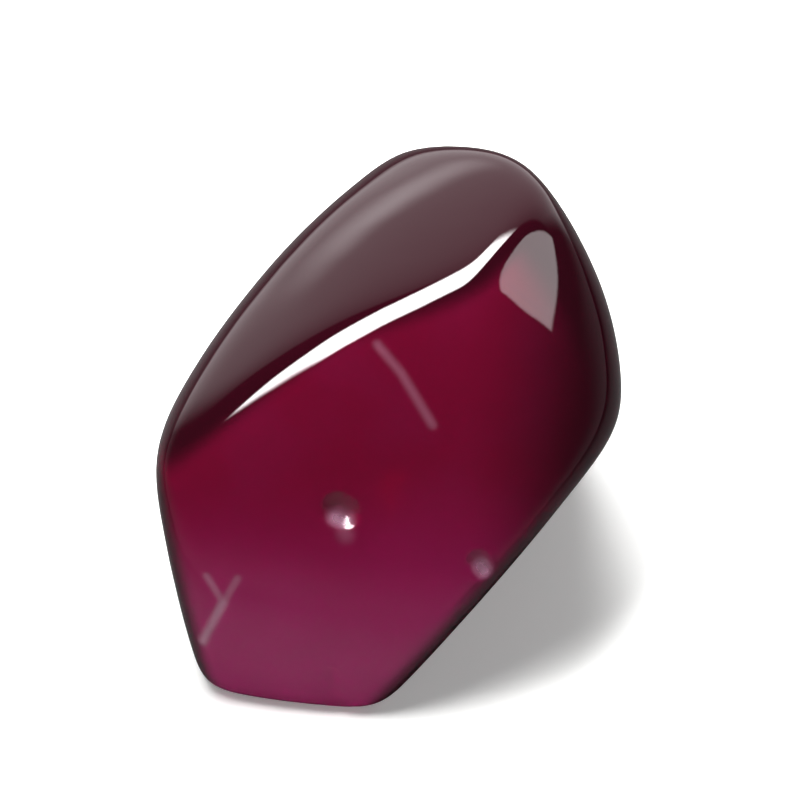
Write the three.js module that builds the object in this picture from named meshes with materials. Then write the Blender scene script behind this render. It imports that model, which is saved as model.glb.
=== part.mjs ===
// A tumbled garnet chip: one polished pebble of clear dark red garnet, in millimetres, +Z up.
//
// A broken crystal fragment has a few nearly flat faces. Days in a tumbling barrel crown the faces a
// little and round every edge between them, but leave the fragment's own shape. So the stone is
// worked out in that order: an egg-shaped lump, cut by faces, with each edge between two faces
// rounded by its own amount, and a few shallow hollows pressed into what is left.
//
// The surface is a field that is negative inside the stone and positive outside. Each point of an
// evenly divided ball is moved along its own ray until it meets the place where the field is zero.

import * as THREE from 'three';
import { mergeVertices } from 'three/addons/utils/BufferGeometryUtils.js';

// A direction is given by two angles in degrees. Azimuth 0 is the front, -Y, and 90 is the right,
// +X. Elevation 0 is level and 90 is straight up.

// The lump before its faces: full sizes across, along and through it. Its long axis runs from the
// front to the back, swung to the right by the yaw, and rises towards the back by the pitch.
const LUMP = { across: 9.9, along: 13.4, through: 9.6, yaw: 24, pitch: 14 };

// The face that the stone rests on lies this far below the lump's middle.
const REST_DEPTH = 3.0;
const REST_EDGE = 0.7;

// Reach is how far a face lies from the lump's middle, edge how widely its rim is rounded, and
// crown how fast it curves away, as one over the radius.
const FACES = [
  { name: 'back', azimuth: 158, elevation: 18, reach: 5.22, edge: 1.2, crown: 0.03 },
  { name: 'toe', azimuth: -12, elevation: -26, reach: 5.9, edge: 1.0, crown: 0.1 },
  { name: 'lower front', azimuth: -6, elevation: 2, reach: 4.85, edge: 1.3, crown: 0.03 },
  { name: 'front face', azimuth: 2, elevation: 38, reach: 3.3, edge: 2.2, crown: 0.03 },
  { name: 'left wall', azimuth: -89, elevation: -11, reach: 4.08, edge: 0.7, crown: 0.02 },
  { name: 'undercut right', azimuth: 66, elevation: -34, reach: 3.12, edge: 0.6, crown: 0 },
  { name: 'right wall', azimuth: 96, elevation: -5, reach: 4.24, edge: 0.8, crown: 0.02 },
  { name: 'right back wall', azimuth: 113, elevation: 11, reach: 4.66, edge: 0.9, crown: 0.05 },
  { name: 'left back wall', azimuth: -118, elevation: 21, reach: 3.45, edge: 0.8, crown: 0.055 },
  { name: 'top face', azimuth: -98, elevation: 63, reach: 3.52, edge: 0.6, crown: 0.06 },
  { name: 'beside the ridge', azimuth: -90, elevation: 77, reach: 3.68, edge: 0.5, crown: 0.02 },
  { name: 'right bevel', azimuth: 60, elevation: 40, reach: 4.47, edge: 0.8, crown: 0.02 },
  { name: 'ridge end', azimuth: 50, elevation: 54, reach: 4.24, edge: 0.2, crown: 0 },
];

// Shallow hollows, round in outline, where a chip came off before the tumbling.
const HOLLOWS = [
  { name: 'low on the right', azimuth: 68, elevation: -22, radius: 2.2, depth: 0.12 },
  { name: 'across the back', azimuth: 158, elevation: 4, radius: 2.6, depth: 0.22 },
  { name: 'left side', azimuth: -96, elevation: -4, radius: 2.0, depth: 0.08 },
];

// The ball is divided into 20 * (divisions + 1)^2 triangles.
const DIVISIONS = 19;
const FARTHEST = 12;
const HALVINGS = 40;
const MERGE_TOLERANCE = 1e-6;

const GARNET_COLOUR = 0x6b1029;

function direction(azimuth, elevation) {
  const a = THREE.MathUtils.degToRad(azimuth);
  const e = THREE.MathUtils.degToRad(elevation);
  return new THREE.Vector3(Math.cos(e) * Math.sin(a), -Math.cos(e) * Math.cos(a), Math.sin(e));
}

// The larger of two distances, with the corner between them rounded over the given width.
function softMax(a, b, width) {
  const h = Math.max(width - Math.abs(a - b), 0) / width;
  return Math.max(a, b) + (h * h * h * width) / 6;
}

// The lump's own axes: across it, along it and through it.
function lumpAxes() {
  const yaw = THREE.MathUtils.degToRad(LUMP.yaw);
  const along = direction(180 - LUMP.yaw, LUMP.pitch);
  const across = new THREE.Vector3(Math.cos(yaw), -Math.sin(yaw), 0);
  const through = new THREE.Vector3().crossVectors(across, along);
  return [across, along, through];
}

const LUMP_AXES = lumpAxes();
const LUMP_RADII = [LUMP.across / 2, LUMP.along / 2, LUMP.through / 2];

// About the distance from a point to the egg-shaped lump's surface.
function lumpField(point) {
  let nearness = 0;
  let steepness = 0;
  for (let i = 0; i < 3; i += 1) {
    const reach = point.dot(LUMP_AXES[i]) / LUMP_RADII[i];
    nearness += reach ** 2;
    steepness += (reach / LUMP_RADII[i]) ** 2;
  }
  const ratio = Math.sqrt(nearness);
  return (ratio * (ratio - 1)) / Math.sqrt(steepness);
}

// How far a point lies beyond a crowned face.
function faceField(point, face) {
  const along = point.dot(face.normal);
  const sidewaysSquared = point.lengthSq() - along * along;
  return along - face.reach + 0.5 * face.crown * sidewaysSquared;
}

// How deep a hollow is at a point: its full depth on its axis, falling smoothly to none.
function hollowDepth(point, hollow) {
  const along = point.dot(hollow.axis);
  const sidewaysSquared = point.lengthSq() - along * along;
  const left = 1 - sidewaysSquared / hollow.radius ** 2;
  return along > 0 && left > 0 ? hollow.depth * left * left : 0;
}

const CUTS = FACES.map((face) => ({ ...face, normal: direction(face.azimuth, face.elevation) }));
const DIPS = HOLLOWS.map((hollow) => ({ ...hollow, axis: direction(hollow.azimuth, hollow.elevation) }));

function stoneField(point) {
  let field = lumpField(point);
  for (const cut of CUTS) field = softMax(field, faceField(point, cut), cut.edge);
  for (const dip of DIPS) field += hollowDepth(point, dip);
  return softMax(field, -point.z - REST_DEPTH, REST_EDGE);
}

// The distance from the middle to the surface along one ray.
function surfaceReach(ray) {
  const point = new THREE.Vector3();
  let inside = 0;
  let outside = FARTHEST;
  for (let i = 0; i < HALVINGS; i += 1) {
    const middle = (inside + outside) / 2;
    point.copy(ray).multiplyScalar(middle);
    if (stoneField(point) < 0) inside = middle;
    else outside = middle;
  }
  return inside;
}

// An evenly divided ball whose points are moved out to the stone's surface.
function stoneGeometry() {
  const ball = new THREE.IcosahedronGeometry(1, DIVISIONS);
  ball.deleteAttribute('normal');
  ball.deleteAttribute('uv');
  const geometry = mergeVertices(ball, MERGE_TOLERANCE);
  const place = geometry.attributes.position;
  const ray = new THREE.Vector3();
  for (let i = 0; i < place.count; i += 1) {
    ray.fromBufferAttribute(place, i).normalize();
    ray.multiplyScalar(surfaceReach(ray));
    place.setXYZ(i, ray.x, ray.y, ray.z);
  }
  return geometry;
}

// Puts the origin at the middle of the outline seen from above, on the resting face.
function standOnOrigin(geometry) {
  geometry.computeBoundingBox();
  const middle = geometry.boundingBox.getCenter(new THREE.Vector3());
  geometry.translate(-middle.x, -middle.y, REST_DEPTH);
  geometry.computeVertexNormals();
  return geometry;
}

function tumbledGarnet() {
  const material = new THREE.MeshStandardMaterial({
    color: GARNET_COLOUR,
    roughness: 0.05,
    metalness: 0,
  });
  const mesh = new THREE.Mesh(standOnOrigin(stoneGeometry()), material);
  mesh.name = 'tumbled_garnet';
  return mesh;
}

const stone = new THREE.Group();
stone.add(tumbledGarnet());

export default stone;
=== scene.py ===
# %% [markdown]
# A tumbled garnet chip
#
# The real object is one chip of red garnet, about ten millimetres long. It broke from a crystal with a
# few nearly flat faces, and days in a tumbling barrel crowned those faces, rounded the edges between
# them and gave it a wet polish. These cells rebuild it in Blender: first the camera, the floor and the
# light, then the stone's fine surface, then the garnet itself.
#
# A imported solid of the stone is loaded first. It fixes the size and the place of everything that
# follows, so its box is kept, and nothing made here may outgrow it.

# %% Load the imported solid
import math

import bmesh
import bpy
import numpy as np
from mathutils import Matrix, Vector, noise


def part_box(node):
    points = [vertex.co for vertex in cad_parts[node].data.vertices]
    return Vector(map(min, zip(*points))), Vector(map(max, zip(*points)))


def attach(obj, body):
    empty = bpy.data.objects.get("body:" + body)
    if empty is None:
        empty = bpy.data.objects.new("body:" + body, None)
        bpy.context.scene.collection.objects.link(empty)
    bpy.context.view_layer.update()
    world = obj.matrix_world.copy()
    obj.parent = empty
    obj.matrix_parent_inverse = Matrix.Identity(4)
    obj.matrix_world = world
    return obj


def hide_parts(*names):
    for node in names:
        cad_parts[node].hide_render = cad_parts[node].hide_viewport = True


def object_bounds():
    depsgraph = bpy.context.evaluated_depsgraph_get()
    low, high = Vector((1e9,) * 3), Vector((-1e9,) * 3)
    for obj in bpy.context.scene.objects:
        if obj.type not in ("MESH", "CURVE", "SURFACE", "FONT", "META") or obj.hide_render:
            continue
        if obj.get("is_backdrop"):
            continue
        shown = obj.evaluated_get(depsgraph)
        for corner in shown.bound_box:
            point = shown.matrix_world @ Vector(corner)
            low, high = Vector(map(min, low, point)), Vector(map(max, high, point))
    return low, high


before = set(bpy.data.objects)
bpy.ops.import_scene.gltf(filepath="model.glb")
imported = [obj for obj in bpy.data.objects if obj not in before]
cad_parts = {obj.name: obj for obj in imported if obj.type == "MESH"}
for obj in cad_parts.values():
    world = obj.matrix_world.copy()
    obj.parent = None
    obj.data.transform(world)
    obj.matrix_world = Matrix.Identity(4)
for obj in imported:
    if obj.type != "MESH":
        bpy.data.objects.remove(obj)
cad_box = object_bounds()
solid_low, solid_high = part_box("tumbled_garnet")

MM = 0.001
print("solid size in mm:", [round(side / MM, 2) for side in solid_high - solid_low])

# %% [markdown]
# The camera stands in front of the stone and looks down on it at forty degrees. A stone this small is
# photographed through a long lens from some way off, which keeps the outline from bulging. The lens is
# worked out from the width of the picture at the stone, so the framing is one number in millimetres.
# A product picture is printed with firm contrast, and a gamma below one deepens the shades in the same
# way and leaves white as it is.
#
# Directions are given by two angles in degrees. Azimuth 0 is the front, -Y, and 90 is the right, +X.
# Elevation 0 is level and 90 is straight up.

# %% Camera
CAMERA_AZIMUTH = 0
CAMERA_ELEVATION = 40
CAMERA_DISTANCE = 300 * MM
PICTURE_WIDTH = 14.7 * MM
PICTURE_MIDDLE = Vector((0.2, -0.2, 3.4)) * MM
PICTURE_GAMMA = 0.85
CLIP_START = 10 * MM


def direction(azimuth, elevation):
    a, e = math.radians(azimuth), math.radians(elevation)
    return Vector((math.cos(e) * math.sin(a), -math.cos(e) * math.cos(a), math.sin(e)))


def link(thing):
    bpy.context.scene.collection.objects.link(thing)
    return thing


def look_at(thing, target):
    thing.rotation_euler = (target - thing.location).to_track_quat("-Z", "Y").to_euler()


def add_camera():
    lens = bpy.data.cameras.new("camera")
    lens.lens = lens.sensor_width * CAMERA_DISTANCE / PICTURE_WIDTH
    lens.clip_start = CLIP_START
    camera = link(bpy.data.objects.new("camera", lens))
    camera.location = PICTURE_MIDDLE + direction(CAMERA_AZIMUTH, CAMERA_ELEVATION) * CAMERA_DISTANCE
    look_at(camera, PICTURE_MIDDLE)
    return camera


bpy.context.scene.camera = add_camera()
bpy.context.scene.view_settings.view_transform = "Standard"
bpy.context.scene.view_settings.gamma = PICTURE_GAMMA
print("lens:", round(bpy.context.scene.camera.data.lens), "mm")

# %% [markdown]
# The stone lies on a plain pale sheet. The sheet sits a hair below the stone, because light inside a
# clear solid turns back at a face with air under it, and two surfaces in exactly the same place would
# leave the renderer guessing which one it met first.
#
# A white sheet has to look white in the picture, yet a dark polished stone mirrors it along every edge,
# and a brightly lit sheet turns those edges grey. In a studio, black cards round the stone keep the
# sheet out of its edges, and the picture of the sheet is lifted to white. Here the Light Path node does
# both: the sheet is pale to everything but the stone's gloss, which sees it dim, and to the camera it
# also glows a little.

# %% Floor
FLOOR_HALF = 600 * MM
FLOOR_GAP = 0.02 * MM
SHEET = (0.9, 0.9, 0.89, 1)
SHEET_IN_GLOSS = (0.14, 0.14, 0.14, 1)
NO_GLOW = (0, 0, 0, 1)
GLOW_IN_PICTURE = (0.3, 0.3, 0.3, 1)


def feed(tree, socket, value):
    """Links a node's output to a socket, or sets the socket to a plain value."""
    if isinstance(value, bpy.types.NodeSocket):
        tree.links.new(value, socket)
    else:
        socket.default_value = value


def mix(tree, kind, factor, a, b):
    """A mix node of one kind, which gives a where the factor is 0 and b where it is 1."""
    node = tree.nodes.new("ShaderNodeMix")
    node.data_type = kind
    tree.links.new(factor, node.inputs[0])
    ends = [socket for socket in node.inputs if socket.enabled and socket.name in "AB"]
    for socket, value in zip(ends, (a, b)):
        feed(tree, socket, value)
    return next(socket for socket in node.outputs if socket.enabled)


def sheet_material():
    material = bpy.data.materials.new("pale_sheet")
    material.use_nodes = True
    tree = material.node_tree
    seen_by = tree.nodes.new("ShaderNodeLightPath")
    tone = mix(tree, "RGBA", seen_by.outputs["Is Glossy Ray"], SHEET, SHEET_IN_GLOSS)
    glow = mix(tree, "RGBA", seen_by.outputs["Is Camera Ray"], NO_GLOW, GLOW_IN_PICTURE)
    shader = tree.nodes["Principled BSDF"]
    tree.links.new(tone, shader.inputs["Base Color"])
    tree.links.new(glow, shader.inputs["Emission Color"])
    shader.inputs["Emission Strength"].default_value = 1
    shader.inputs["Roughness"].default_value = 1
    shader.inputs["Specular IOR Level"].default_value = 0
    return material


def add_floor():
    corners = [(-1, -1), (1, -1), (1, 1), (-1, 1)]
    mesh = bpy.data.meshes.new("floor")
    mesh.from_pydata([(x * FLOOR_HALF, y * FLOOR_HALF, -FLOOR_GAP) for x, y in corners], [], [(0, 1, 2, 3)])
    mesh.materials.append(sheet_material())
    return link(bpy.data.objects.new("floor", mesh))


add_floor()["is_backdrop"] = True
print("floor:", round(2 * FLOOR_HALF / MM), "mm wide,", FLOOR_GAP / MM, "mm below the stone")

# %% [markdown]
# A polished stone shows its surroundings more than itself, so the lights are shapes as much as they are
# light. A long narrow softbox overhead draws the white line along the ridge. A wide dim panel behind
# gives the top face its grey, and a small soft one in front of the panel gives that face its paler
# outer band. A small square one at the right back lights up the little facet at the end of the ridge.
# The room in front stays dark, so the big front face shows the garnet's own colour. The lights stand
# close, as they do round a stone of this size.
#
# An area light's power is worked out from how bright its face should look, because that is what a
# reflection of it shows. A real softbox fades to its rim, and one lit from below is brighter at its
# foot. The light's own nodes do that here. Soft is the share of its width and of its height over which
# it fades, and rise is how bright its foot and its top are.

# %% Lights
LIGHTS = {
    "overhead": dict(place=(-8, 4, 52), size=(72, 25), brightness=15, soft=(0.1, 0.12)),
    "behind": dict(place=(0, 60, 36), size=(190, 85), brightness=1.3, soft=(0.2, 0.1), rise=(1, 0.2)),
    "outer band": dict(place=(-17, 53, 23), size=(34, 13), brightness=1.2, soft=(0.5, 0.5)),
    "right": dict(place=(44, 9, 43), size=(20, 20), brightness=2.8, soft=(0.1, 0.1)),
}
LIGHT_TARGET = Vector((0, 0, 4)) * MM
MATH = "ShaderNodeMath"
VECTOR_MATH = "ShaderNodeVectorMath"


def operate(tree, kind, operation, *values):
    """The output of a math or vector math node, fed with the values in order."""
    node = tree.nodes.new(kind)
    node.operation = operation
    for socket, value in zip(node.inputs, values):
        feed(tree, socket, value)
    return next(socket for socket in node.outputs if socket.enabled)


def fade(tree, value, start, end, low=0, high=1):
    """Goes smoothly from low, where the value is at the start, to high, where it is at the end."""
    node = tree.nodes.new("ShaderNodeMapRange")
    node.interpolation_type = "SMOOTHSTEP"
    ranges = {"Value": value, "From Min": start, "From Max": end, "To Min": low, "To Max": high}
    for name, given in ranges.items():
        feed(tree, node.inputs[name], given)
    return node.outputs["Result"]


def softbox_falloff(tree, soft, rise):
    """Fades a softbox towards its rim, and from its foot to its top."""
    place = tree.nodes.new("ShaderNodeSeparateXYZ")
    tree.links.new(tree.nodes.new("ShaderNodeNewGeometry").outputs["Parametric"], place.inputs[0])
    slope = tree.nodes.new("ShaderNodeMapRange")
    slope.inputs["To Min"].default_value, slope.inputs["To Max"].default_value = rise
    tree.links.new(place.outputs["Y"], slope.inputs["Value"])
    strength = slope.outputs["Result"]
    for axis, share in zip("XY", soft):
        from_rim = operate(tree, MATH, "PINGPONG", place.outputs[axis], 0.5)
        strength = operate(tree, MATH, "MULTIPLY", strength, fade(tree, from_rim, 0, share))
    tree.links.new(strength, tree.nodes["Emission"].inputs["Strength"])


def add_softbox(name, place, size, brightness, soft, rise=(1, 1)):
    face = bpy.data.lights.new(name, "AREA")
    face.shape = "RECTANGLE"
    face.size, face.size_y = (side * MM for side in size)
    face.energy = brightness * math.pi * face.size * face.size_y
    face.use_nodes = True
    softbox_falloff(face.node_tree, soft, rise)
    softbox = link(bpy.data.objects.new(name, face))
    softbox.location = Vector(place) * MM
    look_at(softbox, LIGHT_TARGET)
    softbox.visible_camera = False
    return softbox


for name, values in LIGHTS.items():
    add_softbox(name, **values)
print("softboxes:", list(LIGHTS))

# %% [markdown]
# Beyond the lights the room is almost black, with a low grey glow round the horizon. The glow fades
# smoothly with height, so a reflection that slides from the sheet up into the room fades too, instead
# of stopping. The camera itself sees a plain pale backdrop, which shows only in views from low down.

# %% Room
ROOM_BRIGHTNESS = 0.04
HORIZON_BRIGHTNESS = 0.25
GLOW_HEIGHT = 18
BACKDROP_BRIGHTNESS = 0.8


def add_room():
    room = bpy.data.worlds.new("room")
    room.use_nodes = True
    tree = room.node_tree
    way = tree.nodes.new("ShaderNodeTexCoord")
    height = tree.nodes.new("ShaderNodeSeparateXYZ")
    tree.links.new(way.outputs["Generated"], height.inputs[0])
    glow_top = math.sin(math.radians(GLOW_HEIGHT))
    glow = fade(tree, height.outputs["Z"], 0, glow_top, HORIZON_BRIGHTNESS, ROOM_BRIGHTNESS)
    by_camera = tree.nodes.new("ShaderNodeLightPath").outputs["Is Camera Ray"]
    background = tree.nodes["Background"]
    background.inputs["Color"].default_value = (1, 1, 1, 1)
    tree.links.new(mix(tree, "FLOAT", by_camera, glow, BACKDROP_BRIGHTNESS), background.inputs["Strength"])
    return room


bpy.context.scene.world = add_room()
print("room brightness:", ROOM_BRIGHTNESS, "with a glow", GLOW_HEIGHT, "degrees high")

# %% [markdown]
# The stone's shape could be sculpted by hand, or cut from a ball with flat planes and then bevelled.
# Here it is worked out the way the real one came about, as a field that is negative inside the stone
# and positive outside. It starts as an egg-shaped lump. Each face of the broken crystal cuts it, and
# the corner between two distances is rounded by its own width, as tumbling does. A few wide shallow
# hollows follow, and last the flat face that the stone rests on. All lengths are in millimetres from
# the lump's middle.
#
# Reach is how far a face lies from the middle, edge how widely its rim is rounded, and crown how fast
# it curves away, as one over the radius.

# %% The stone's faces
LUMP = dict(across=9.9, along=13.4, through=9.6, yaw=24, pitch=14)
REST_DEPTH = 3.0
REST_EDGE = 0.7
FACES = {
    "back": dict(azimuth=158, elevation=18, reach=5.22, edge=1.2, crown=0.03),
    "toe": dict(azimuth=-12, elevation=-26, reach=5.9, edge=1.0, crown=0.1),
    "lower front": dict(azimuth=-6, elevation=2, reach=4.85, edge=1.3, crown=0.03),
    "front face": dict(azimuth=2, elevation=38, reach=3.3, edge=2.2, crown=0.03),
    "left wall": dict(azimuth=-89, elevation=-11, reach=4.08, edge=0.7, crown=0.02),
    "undercut right": dict(azimuth=66, elevation=-34, reach=3.12, edge=0.6, crown=0),
    "right wall": dict(azimuth=96, elevation=-5, reach=4.24, edge=0.8, crown=0.02),
    "right back wall": dict(azimuth=113, elevation=11, reach=4.66, edge=0.9, crown=0.05),
    "left back wall": dict(azimuth=-118, elevation=21, reach=3.45, edge=0.8, crown=0.055),
    "top face": dict(azimuth=-98, elevation=63, reach=3.52, edge=0.6, crown=0.06),
    "beside the ridge": dict(azimuth=-90, elevation=77, reach=3.68, edge=0.5, crown=0.02),
    "right bevel": dict(azimuth=60, elevation=40, reach=4.47, edge=0.8, crown=0.02),
    "ridge end": dict(azimuth=50, elevation=54, reach=4.24, edge=0.2, crown=0),
}
HOLLOWS = {
    "low on the right": dict(azimuth=68, elevation=-22, radius=2.2, depth=0.12),
    "across the back": dict(azimuth=158, elevation=4, radius=2.6, depth=0.22),
    "left side": dict(azimuth=-96, elevation=-4, radius=2.0, depth=0.08),
}
print("faces:", len(FACES), "hollows:", len(HOLLOWS))


# %% The stone as a field
def soft_max(a, b, width):
    h = np.maximum(width - np.abs(a - b), 0) / width
    return np.maximum(a, b) + h**3 * width / 6


def lump_field(points):
    along = direction(180 - LUMP["yaw"], LUMP["pitch"])
    across = Vector((math.cos(math.radians(LUMP["yaw"])), -math.sin(math.radians(LUMP["yaw"])), 0))
    axes = np.array([across, along, across.cross(along)])
    radii = np.array([LUMP["across"], LUMP["along"], LUMP["through"]]) / 2
    reach = points @ axes.T / radii
    ratio = np.linalg.norm(reach, axis=1)
    return ratio * (ratio - 1) / np.linalg.norm(reach / radii, axis=1)


def along_and_aside(points, azimuth, elevation):
    along = points @ np.array(direction(azimuth, elevation))
    return along, (points**2).sum(axis=1) - along**2


def face_field(points, face):
    along, aside_squared = along_and_aside(points, face["azimuth"], face["elevation"])
    return along - face["reach"] + 0.5 * face["crown"] * aside_squared


def hollow_depth(points, hollow):
    along, aside_squared = along_and_aside(points, hollow["azimuth"], hollow["elevation"])
    left = np.clip(1 - aside_squared / hollow["radius"] ** 2, 0, None)
    return np.where(along > 0, hollow["depth"] * left**2, 0)


def stone_field(points):
    field = lump_field(points)
    for face in FACES.values():
        field = soft_max(field, face_field(points, face), face["edge"])
    for hollow in HOLLOWS.values():
        field = field + hollow_depth(points, hollow)
    return soft_max(field, -points[:, 2] - REST_DEPTH, REST_EDGE)


UP = np.array([[0.0, 0.0, 1.0]])
print("field one millimetre above the middle:", stone_field(UP).round(2))


# %% [markdown]
# Every ray from the middle meets the surface once, so the surface is found by halving: each point of a
# ball is moved along its own ray to where the field is zero. The field's slope there is the surface's
# own normal, which the small marks need.

# %% Find the surface
FARTHEST = 12
HALVINGS = 32
SLOPE_STEP = 0.01


def surface_points(rays):
    inside = np.zeros(len(rays))
    outside = np.full(len(rays), float(FARTHEST))
    for _ in range(HALVINGS):
        middle = (inside + outside) / 2
        within = stone_field(rays * middle[:, None]) < 0
        inside = np.where(within, middle, inside)
        outside = np.where(within, outside, middle)
    return rays * inside[:, None]


def surface_normals(points):
    steps = np.eye(3) * SLOPE_STEP
    slope = np.stack([stone_field(points + step) - stone_field(points - step) for step in steps], axis=1)
    return slope / np.linalg.norm(slope, axis=1)[:, None]


print("surface above the middle, in mm:", surface_points(UP).round(2))


# %% [markdown]
# Tumbling leaves marks that a tenth of a millimetre of relief is enough to show: a pit in the front
# face that catches a spark of light, another by the lower right edge, a nick at the lower left and a
# small notch at the foot. Each mark follows a short path over the surface, given by directions from
# the middle.
#
# A mark is a smooth dip across its path, deepest in the middle. The front pit is steep enough for its
# lower wall to face the light overhead, and that is its spark.

# %% Marks on the surface
MARKS = {
    "front pit": dict(path=[(-13.8, 15.2), (-11.6, 14.2)], radius=0.36, depth=0.16),
    "edge pit": dict(path=[(24.2, 0.6), (25.0, -0.6)], radius=0.28, depth=0.09),
    "lower left nick": dict(path=[(-35.6, -8), (-38.6, -16.8)], radius=0.13, depth=0.02),
    "notch at the foot": dict(path=[(-11.8, -23), (-11, -30)], radius=0.17, depth=0.05),
}
PATH_STEP = 0.05


def mark_path(corners):
    """Closely spaced points on the surface along a path of directions."""
    ways = [direction(*corner) for corner in corners]
    rays = [ways[0]]
    for start, end in zip(ways, ways[1:]):
        count = math.ceil(start.angle(end) * LUMP["along"] / 2 / PATH_STEP)
        rays += [start.slerp(end, (i + 1) / count) for i in range(count)]
    return surface_points(np.array(rays))


def distance_to(points, path):
    nearest = np.full(len(points), np.inf)
    for spot in path:
        nearest = np.minimum(nearest, ((points - spot) ** 2).sum(axis=1))
    return np.sqrt(nearest)


def mark_depth(points, mark):
    distance = distance_to(points, mark["line"])
    return mark["depth"] * np.clip(1 - (distance / mark["radius"]) ** 2, 0, None) ** 2


for mark in MARKS.values():
    mark["line"] = mark_path(mark["path"])
print("marks:", len(MARKS))

# %% [markdown]
# The ball starts with even triangles a tenth of a millimetre wide. That is enough for the faces, but
# not for the marks, so the triangles round each mark are divided again before the points are moved.
# A very slight waviness goes over everything but the resting face: polish never leaves a stone as
# true as a lens, and it is what makes a reflection wander a little.

# %% Build the fine stone
BALL_LEVEL = 7
MARK_MARGIN = 1.4
MARK_CUTS = 3
WAVES = [dict(length=2.2, height=0.010), dict(length=0.8, height=0.002)]
STILL_NEAR_REST = 0.5


def divided_ball():
    """An even ball of unit rays, with smaller triangles where the marks are."""
    ball = bmesh.new()
    bmesh.ops.create_icosphere(ball, subdivisions=BALL_LEVEL, radius=1)
    rays = np.array([point.co for point in ball.verts])
    places = surface_points(rays / np.linalg.norm(rays, axis=1)[:, None])
    near = np.zeros(len(places), bool)
    for mark in MARKS.values():
        near |= distance_to(places, mark["line"]) < mark["radius"] * MARK_MARGIN
    ball.verts.ensure_lookup_table()
    edges = [e for e in ball.edges if near[e.verts[0].index] or near[e.verts[1].index]]
    bmesh.ops.subdivide_edges(ball, edges=edges, cuts=MARK_CUTS, use_grid_fill=True)
    bmesh.ops.triangulate(ball, faces=ball.faces)
    return ball


def waviness(points):
    height = np.zeros(len(points))
    for wave in WAVES:
        height += [wave["height"] * noise.noise(Vector(point) / wave["length"]) for point in points]
    stillness = np.clip((points[:, 2] + REST_DEPTH) / STILL_NEAR_REST, 0, 1)
    return height * stillness


def stone_mesh():
    """The stone's mesh, in metres, and where the lump's middle lies in it, in millimetres."""
    ball = divided_ball()
    rays = np.array([point.co for point in ball.verts])
    places = surface_points(rays / np.linalg.norm(rays, axis=1)[:, None])
    depth = sum(mark_depth(places, mark) for mark in MARKS.values()) - waviness(places)
    places = places - surface_normals(places) * depth[:, None]
    places[:, 2] = np.maximum(places[:, 2], -REST_DEPTH)
    box_middle = (places.min(axis=0) + places.max(axis=0)) / 2
    solid_middle = (solid_low + solid_high) / 2 / MM
    lump_middle = Vector((solid_middle.x - box_middle[0], solid_middle.y - box_middle[1], 0))
    lump_middle.z = solid_low.z / MM + REST_DEPTH
    for point, place in zip(ball.verts, places):
        point.co = (Vector(place) + lump_middle) * MM
    for face in ball.faces:
        face.smooth = True
    mesh = bpy.data.meshes.new("garnet_stone")
    ball.to_mesh(mesh)
    ball.free()
    return mesh, lump_middle


mesh, lump_middle = stone_mesh()
stone = link(bpy.data.objects.new("garnet_stone", mesh))
print("triangles:", len(mesh.polygons), "size in mm:", [round(side / MM, 2) for side in stone.dimensions])

# %% [markdown]
# Garnet is a clear mineral, so this is see-through glass with garnet's own optics: an index of
# refraction of 1.76 and red absorption in its depth. Real chips are full of fine cracks and crystals
# that scatter part of the light on its way, which is why the front face glows an even crimson. The
# shader's transmission therefore stays under full, and the base colour is what is scattered.
#
# Five effects vary over the stone, and each is a node group with named sockets. All of them measure in
# millimetres from the lump's middle, as the faces do. A zone fades in along one direction. A skin lies
# just under one face and follows its crown. A cloud is a patchy mask of a given size. A feather is the
# pale line of a small healed crack. Fine wear is the height of the faint unevenness that even a good
# polish leaves.

# %% Zone group
WAVER_SCALE = 0.4


def new_group(name, inputs, outputs):
    """A shader node group with its sockets made, and its input and output nodes."""
    group = bpy.data.node_groups.new(name, "ShaderNodeTree")
    for socket, kind, value in inputs:
        made = group.interface.new_socket(socket, in_out="INPUT", socket_type=kind)
        if value is not None:
            made.default_value = value
    for socket, kind in outputs:
        group.interface.new_socket(socket, in_out="OUTPUT", socket_type=kind)
    return group, group.nodes.new("NodeGroupInput"), group.nodes.new("NodeGroupOutput")


def patches(tree, position, scale, detail):
    """Soft random patches, from 0 to 1."""
    node = tree.nodes.new("ShaderNodeTexNoise")
    node.inputs["Detail"].default_value = detail
    feed(tree, node.inputs["Scale"], scale)
    tree.links.new(position, node.inputs["Vector"])
    return node.outputs["Fac"]


def zone_group():
    """A mask that fades in between two distances along a direction, with a wavering front."""
    inputs = [
        ("Position", "NodeSocketVector", None),
        ("Direction", "NodeSocketVector", (0, 0, 1)),
        ("Start", "NodeSocketFloat", 0),
        ("End", "NodeSocketFloat", 1),
        ("Waver", "NodeSocketFloat", 0),
    ]
    group, given, made = new_group("zone", inputs, [("Mask", "NodeSocketFloat")])
    get = given.outputs
    along = operate(group, VECTOR_MATH, "DOT_PRODUCT", get["Position"], get["Direction"])
    wander = patches(group, get["Position"], WAVER_SCALE, 1)
    wavering = operate(group, MATH, "MULTIPLY_ADD", wander, get["Waver"], along)
    group.links.new(fade(group, wavering, get["Start"], get["End"]), made.inputs["Mask"])
    return group


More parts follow.
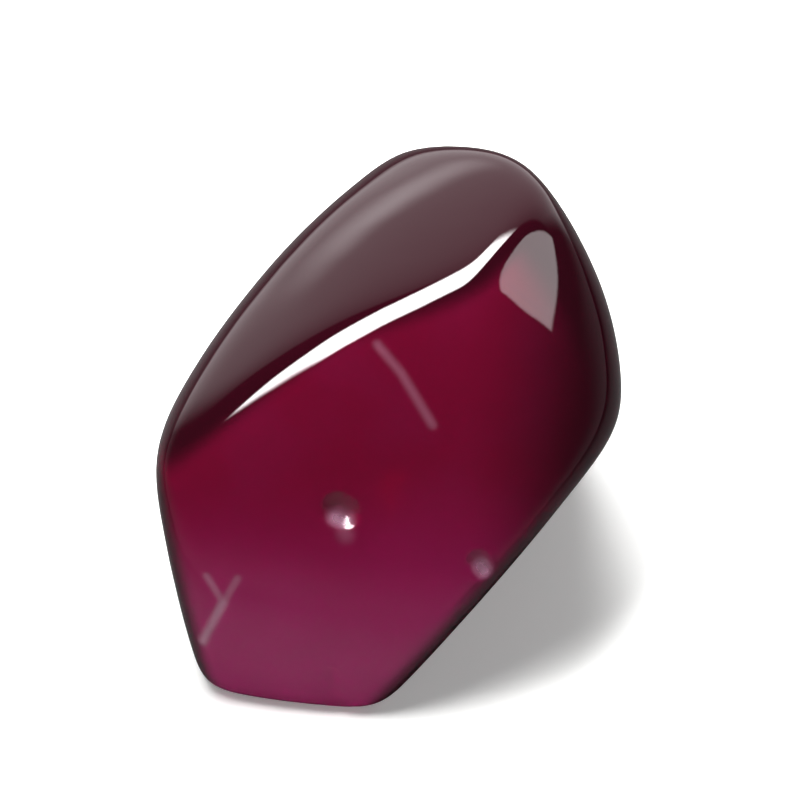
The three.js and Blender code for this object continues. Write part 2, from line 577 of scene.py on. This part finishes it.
# %% Skin group
def skin_group():
    """A mask that is full at a crowned face, as deep as Full below it, and gone at the depth Gone."""
    inputs = [
        ("Position", "NodeSocketVector", None),
        ("Direction", "NodeSocketVector", (0, 0, 1)),
        ("Reach", "NodeSocketFloat", 1),
        ("Crown", "NodeSocketFloat", 0),
        ("Full", "NodeSocketFloat", 0.1),
        ("Gone", "NodeSocketFloat", 0.5),
    ]
    group, given, made = new_group("skin", inputs, [("Mask", "NodeSocketFloat")])
    get = given.outputs
    along = operate(group, VECTOR_MATH, "DOT_PRODUCT", get["Position"], get["Direction"])
    squared = operate(group, VECTOR_MATH, "DOT_PRODUCT", get["Position"], get["Position"])
    along_squared = operate(group, MATH, "MULTIPLY", along, along)
    aside_squared = operate(group, MATH, "SUBTRACT", squared, along_squared)
    half_crown = operate(group, MATH, "MULTIPLY", get["Crown"], 0.5)
    height = operate(group, MATH, "MULTIPLY_ADD", aside_squared, half_crown, along)
    depth = operate(group, MATH, "SUBTRACT", get["Reach"], height)
    group.links.new(fade(group, depth, get["Full"], get["Gone"], 1, 0), made.inputs["Mask"])
    return group


# %% Cloud group
CLOUD_EDGE = (0.42, 0.68)


def cloud_group():
    """Soft patches of about one size, from 0 to their strength."""
    inputs = [
        ("Position", "NodeSocketVector", None),
        ("Size", "NodeSocketFloat", 1),
        ("Strength", "NodeSocketFloat", 1),
    ]
    group, given, made = new_group("cloud", inputs, [("Mask", "NodeSocketFloat")])
    get = given.outputs
    scale = operate(group, MATH, "DIVIDE", 1, get["Size"])
    cover = patches(group, get["Position"], scale, 3)
    group.links.new(fade(group, cover, *CLOUD_EDGE, 0, get["Strength"]), made.inputs["Mask"])
    return group


# %% Feather group
def feather_group():
    """A soft line between two points, strongest in its middle and fading over its width."""
    inputs = [
        ("Position", "NodeSocketVector", None),
        ("From", "NodeSocketVector", (0, 0, 0)),
        ("To", "NodeSocketVector", (0, 0, 1)),
        ("Width", "NodeSocketFloat", 0.1),
        ("Strength", "NodeSocketFloat", 1),
    ]
    group, given, made = new_group("feather", inputs, [("Mask", "NodeSocketFloat")])
    get = given.outputs
    way = operate(group, VECTOR_MATH, "SUBTRACT", get["To"], get["From"])
    offset = operate(group, VECTOR_MATH, "SUBTRACT", get["Position"], get["From"])
    reached = operate(group, VECTOR_MATH, "DOT_PRODUCT", offset, way)
    length_squared = operate(group, VECTOR_MATH, "DOT_PRODUCT", way, way)
    share = operate(group, MATH, "DIVIDE", reached, length_squared)
    share.node.use_clamp = True
    on_line = operate(group, VECTOR_MATH, "MULTIPLY", way, share)
    aside = operate(group, VECTOR_MATH, "LENGTH", operate(group, VECTOR_MATH, "SUBTRACT", offset, on_line))
    group.links.new(fade(group, aside, 0, get["Width"], get["Strength"], 0), made.inputs["Mask"])
    return group


# %% Fine wear group
WEAR_SCALE = {"Swell": 1.1, "Specks": 14}
WEAR_DETAIL = {"Swell": 1, "Specks": 2}


def wear_group():
    """The height of a polished surface: long soft swells, and a few specks too small to see singly."""
    inputs = [
        ("Position", "NodeSocketVector", None),
        ("Swell", "NodeSocketFloat", 1),
        ("Specks", "NodeSocketFloat", 0.2),
    ]
    group, given, made = new_group("fine_wear", inputs, [("Height", "NodeSocketFloat")])
    get = given.outputs
    height = 0
    for name, scale in WEAR_SCALE.items():
        grain = patches(group, get["Position"], scale, WEAR_DETAIL[name])
        height = operate(group, MATH, "MULTIPLY_ADD", grain, get[name], height)
    group.links.new(height, made.inputs["Height"])
    return group


ZONE = zone_group()
SKIN = skin_group()
CLOUD = cloud_group()
FEATHER = feather_group()
WEAR = wear_group()
print("node groups:", [group.name for group in bpy.data.node_groups])

# %% [markdown]
# The colour is deepest crimson. Light comes up through the front face and the lower front, so the crimson
# is painted there like a lit window, and the rest of the stone is thick and painted almost black as shade.
# The lower end is thin, so it is painted paler and more magenta, as painted light through it and a painted
# reflection of the sheet, and painted shade darkens the right side. Faint clouds of fine inclusions keep it
# from looking like dyed glass, and pale feathers cross it. The polish is a wet gloss everywhere except on
# the lower end, which took more knocks in the barrel and is a little softer. A pit is rougher than the skin
# round it, and the pale pink spot on it is a painted glint. Where a line's strength is over one, its middle
# is evenly pale.
#
# Little light comes back from under the top face and the walls, so their skins are painted dark as shade,
# and they frame the crimson. Each skin has two depths in millimetres: how deep it is full, and how deep it
# is gone.

# %% Garnet
GARNET = dict(ior=1.76, clearness=0.7, absorbed=(0.5, 0.05, 0.2, 1), density=600)
CRIMSON = (0.48, 0.008, 0.085, 1)
CLOUDED = (0.50, 0.016, 0.12, 1)
CLOUDS = dict(Size=1.6, Strength=0.5)
# Painted light and reflection: the lower end is paler and more magenta, standing in for light through the
# thin end and the sheet's reflection in it.
TOE_GLOW = (0.95, 0.045, 0.36, 1)
TOE_GLOW_ZONE = dict(Direction=(0, -0.78, -0.62), Start=1.6, End=5.6, Waver=0.8)
# Painted shade: this near-black goes on the right side and in the skins under the top face and walls.
SHADE_COLOUR = (0.10, 0.004, 0.022, 1)
RIGHT_SHADE_ZONE = dict(Direction=(1, 0, 0), Start=1.6, End=4.4, Waver=0.5)
# The crimson shows only in these skins, painted as light coming up through them; elsewhere the colour is
# painted shade.
LIT_WINDOW_SKINS = {"front face": (0.5, 0.9), "lower front": (0.5, 0.9)}
SHADED_SKINS = {
    "top face": (0.12, 0.4),
    "beside the ridge": (0.12, 0.42),
    "left wall": (0.05, 0.4),
    "undercut right": (0.05, 0.45),
}
FEATHER_PINK = (1, 0.5, 0.7, 1)
FEATHERS = {
    "by the ridge": dict(path=[(-4, 65), (10, 56.7), (20, 39.7)], width=0.15, strength=0.42),
    "lower left": dict(path=[(-38.6, -16.8), (-35.6, -8)], width=0.15, strength=1),
    "left arm": dict(path=[(-35.6, -8), (-39.8, -2.9)], width=0.12, strength=0.6),
    "right arm": dict(path=[(-35.6, -8), (-34, -3)], width=0.12, strength=0.55),
}
# Painted glints: pale pink spots on and beside the pits; the same masks also make the pits rougher.
GLINT_PINK = (1, 0.52, 0.75, 1)
PAINTED_GLINTS = {
    "front pit": dict(path=[(-13.4, 13.3), (-11.8, 12.7)], width=0.3, strength=1.4),
    "under the pit": dict(path=[(-11.0, 8.6), (-10.6, 8.4)], width=0.26, strength=0.3),
    "edge pit": dict(path=[(24.6, -0.2), (25.2, -1.2)], width=0.24, strength=1.3),
}
GLOSS = 0.03
SOFT_POLISH = 0.2
SOFT_ZONE = dict(Direction=(0.1, -0.8, -0.6), Start=-0.5, End=4.5, Waver=0.4)
BRUISED_POLISH = 0.3
WEAR_HEIGHT = 0.003
FINE_WEAR = dict(Swell=1, Specks=0.06)


class Nodes:
    """Short words for adding nodes to one material."""

    def __init__(self, tree, middle):
        self.tree = tree
        place = tree.nodes.new("ShaderNodeTexCoord").outputs["Object"]
        self.position = operate(tree, VECTOR_MATH, "MULTIPLY_ADD", place, [1 / MM] * 3, -middle)

    def group(self, group, **values):
        node = self.tree.nodes.new("ShaderNodeGroup")
        node.node_tree = group
        self.tree.links.new(self.position, node.inputs["Position"])
        for name, value in values.items():
            node.inputs[name].default_value = value
        return node.outputs[0]

    def largest(self, masks):
        result = masks[0]
        for mask in masks[1:]:
            result = operate(self.tree, MATH, "MAXIMUM", result, mask)
        return result

    def mix(self, kind, factor, a, b):
        return mix(self.tree, kind, factor, a, b)


def skin_masks(add, skins):
    masks = []
    for name, (full, gone) in skins.items():
        face = FACES[name]
        out = direction(face["azimuth"], face["elevation"])
        shape = dict(Direction=out, Reach=face["reach"], Crown=face["crown"])
        masks.append(add.group(SKIN, **shape, Full=full, Gone=gone))
    return masks


def garnet_colour_and_shade(add):
    colour = add.mix("RGBA", add.group(CLOUD, **CLOUDS), CRIMSON, CLOUDED)
    # Painted light and reflection at the lower end.
    colour = add.mix("RGBA", add.group(ZONE, **TOE_GLOW_ZONE), colour, TOE_GLOW)
    # Outside the front windows the colour is painted shade.
    colour = add.mix("RGBA", add.largest(skin_masks(add, LIT_WINDOW_SKINS)), SHADE_COLOUR, colour)
    # Painted shade on the right side and under the top face and walls.
    painted_shade = add.largest([add.group(ZONE, **RIGHT_SHADE_ZONE), *skin_masks(add, SHADED_SKINS)])
    return add.mix("RGBA", painted_shade, colour, SHADE_COLOUR)


def line_mask(add, lines):
    masks = []
    for line in lines.values():
        points = surface_points(np.array([direction(*corner) for corner in line["path"]]))
        for start, end in zip(points, points[1:]):
            ends = {"From": start, "To": end, "Width": line["width"], "Strength": line["strength"]}
            masks.append(add.group(FEATHER, **ends))
    return add.largest(masks)


print("feathers:", list(FEATHERS), "glints:", list(PAINTED_GLINTS))


# %% The finished material
def garnet_material():
    material = bpy.data.materials.new("garnet")
    material.use_nodes = True
    tree = material.node_tree
    shader = tree.nodes["Principled BSDF"]
    add = Nodes(tree, lump_middle)
    colour = add.mix("RGBA", line_mask(add, FEATHERS), garnet_colour_and_shade(add), FEATHER_PINK)
    # The pits' pale spots are painted glints, and the same mask makes them rougher.
    glint_and_chip = line_mask(add, PAINTED_GLINTS)
    tree.links.new(add.mix("RGBA", glint_and_chip, colour, GLINT_PINK), shader.inputs["Base Color"])
    polish = add.mix("FLOAT", add.group(ZONE, **SOFT_ZONE), GLOSS, SOFT_POLISH)
    tree.links.new(add.mix("FLOAT", glint_and_chip, polish, BRUISED_POLISH), shader.inputs["Roughness"])
    bump = tree.nodes.new("ShaderNodeBump")
    bump.inputs["Distance"].default_value = WEAR_HEIGHT * MM
    tree.links.new(add.group(WEAR, **FINE_WEAR), bump.inputs["Height"])
    tree.links.new(bump.outputs["Normal"], shader.inputs["Normal"])
    shader.inputs["IOR"].default_value = GARNET["ior"]
    shader.inputs["Transmission Weight"].default_value = GARNET["clearness"]
    depth = tree.nodes.new("ShaderNodeVolumeAbsorption")
    depth.inputs["Color"].default_value = GARNET["absorbed"]
    depth.inputs["Density"].default_value = GARNET["density"]
    tree.links.new(depth.outputs["Volume"], tree.nodes["Material Output"].inputs["Volume"])
    return material


stone.data.materials.append(garnet_material())
material = stone.data.materials[0]
print("material:", material.name, "with", len(material.node_tree.nodes), "nodes")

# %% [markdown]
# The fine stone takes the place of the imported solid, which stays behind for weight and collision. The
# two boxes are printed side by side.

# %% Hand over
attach(stone, "root")
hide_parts("tumbled_garnet")

visual_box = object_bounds()
boxes = {"cad": cad_box, "visual": visual_box}
for name, (low, high) in boxes.items():
    print(name, "box in mm:", [round(side / MM, 3) for side in high - low])
